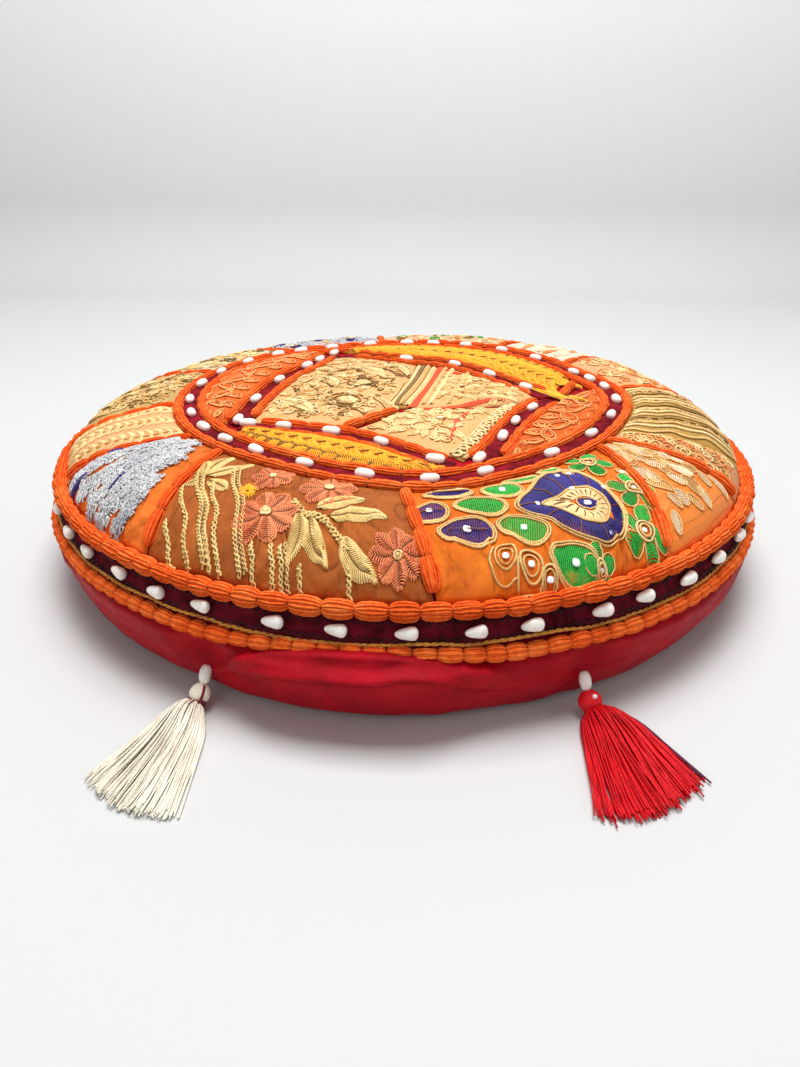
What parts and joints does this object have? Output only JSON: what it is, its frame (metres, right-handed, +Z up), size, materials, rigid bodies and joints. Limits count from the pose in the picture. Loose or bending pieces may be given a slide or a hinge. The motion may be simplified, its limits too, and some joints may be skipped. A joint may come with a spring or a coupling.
{
  "type": "round patchwork floor cushion",
  "caption": "Low round floor cushion: a crown of embroidered patches between wool yarn rows, a beaded velvet ring, square and edge band, a red base, and tassels at the rim.",
  "frame": {"origin": "the middle of the flat base, where the cushion rests on the floor", "axes": "+Z up through the crown, -Y towards the front with the two tassels, +X to the right seen from the front"},
  "size_m": [0.4045, 0.4473, 0.0904],
  "materials": {
    "red_cloth": "smooth shiny red cotton, creased where it is drawn in",
    "velvet": "dark maroon velvet ribbon",
    "yarn": "loose orange wool couched down in puffs",
    "gold_cord": "thin mustard and gold cord",
    "white_yarn": "off-white thread",
    "red_yarn": "bright red thread",
    "bead": "glossy milk-white bead",
    "rust_cloth": "rust-brown cotton with gold and pink embroidery",
    "orange_cloth": "orange cotton with couched cord and satin stitch",
    "orange_brocade": "orange and cream brocade",
    "peach_brocade": "peach and cream brocade with raised scrolls",
    "olive_brocade": "olive-gold brocade",
    "cream_brocade": "cream and gold brocade",
    "silver_scroll": "silver-grey padded scrolls on pale orange",
    "grey_navy": "blue-grey cloth with navy stitches",
    "yellow_braid": "mustard-yellow chain-stitched braid",
    "tan_stitch_orange": "orange cotton with pale tan stitched leaves"
  },
  "bodies": {
    "root": {"cushion_body": "red_cloth", "patch_paisley_orange": "orange_cloth", "patch_blotch_orange": "orange_brocade", "patch_scroll_peach": "peach_brocade", "patch_striped_olive": "olive_brocade", "patch_peach_cream": "peach_brocade", "patch_cream_right": "cream_brocade", "patch_green_cream": "cream_brocade", "patch_grey_navy": "grey_navy", "patch_pale_olive": "cream_brocade", "patch_gold_olive": "olive_brocade", "patch_wheat_peach": "peach_brocade", "patch_silver_scroll": "silver_scroll", "patch_floral_rust": "rust_cloth", "segment_braid_front": "yellow_braid", "segment_orange_right": "tan_stitch_orange", "segment_braid_back": "yellow_braid", "segment_orange_left": "tan_stitch_orange", "centre_scroll_cream": "cream_brocade", "centre_olive_strip": "olive_brocade", "centre_zari_right": "cream_brocade", "centre_zari_front": "cream_brocade", "centre_border_strip": "olive_brocade", "ring_ribbon": "velvet", "ring_row_outer": "yarn", "ring_row_inner": "yarn", "left_ribbon": "velvet", "left_row_outer": "yarn", "left_row_inner": "yarn", "back_ribbon": "velvet", "back_row_outer": "yarn", "back_row_inner": "yarn", "right_ribbon": "velvet", "right_row_outer": "yarn", "right_row_inner": "yarn", "front_ribbon": "velvet", "front_row_outer": "yarn", "front_row_inner": "yarn", "corner_row": "yarn", "centre_row": "yarn", "spoke_row_front": "yarn", "spoke_row_front_right": "yarn", "spoke_row_right_front": "yarn", "spoke_row_right": "yarn", "spoke_row_right_back": "yarn", "spoke_row_back_right": "yarn", "spoke_row_back": "yarn", "spoke_row_back_left": "yarn", "spoke_row_left_back": "yarn", "spoke_row_left": "yarn", "spoke_row_left_front": "yarn", "spoke_row_front_left": "yarn", "velvet_band": "velvet", "gold_cord": "gold_cord", "rim_row_upper": "yarn", "rim_row_lower": "yarn", "tassel_bead_white": "bead", "tassel_white": "white_yarn", "tassel_bead_red": "bead", "tassel_red": "red_yarn"}
  },
  "joints": []
}
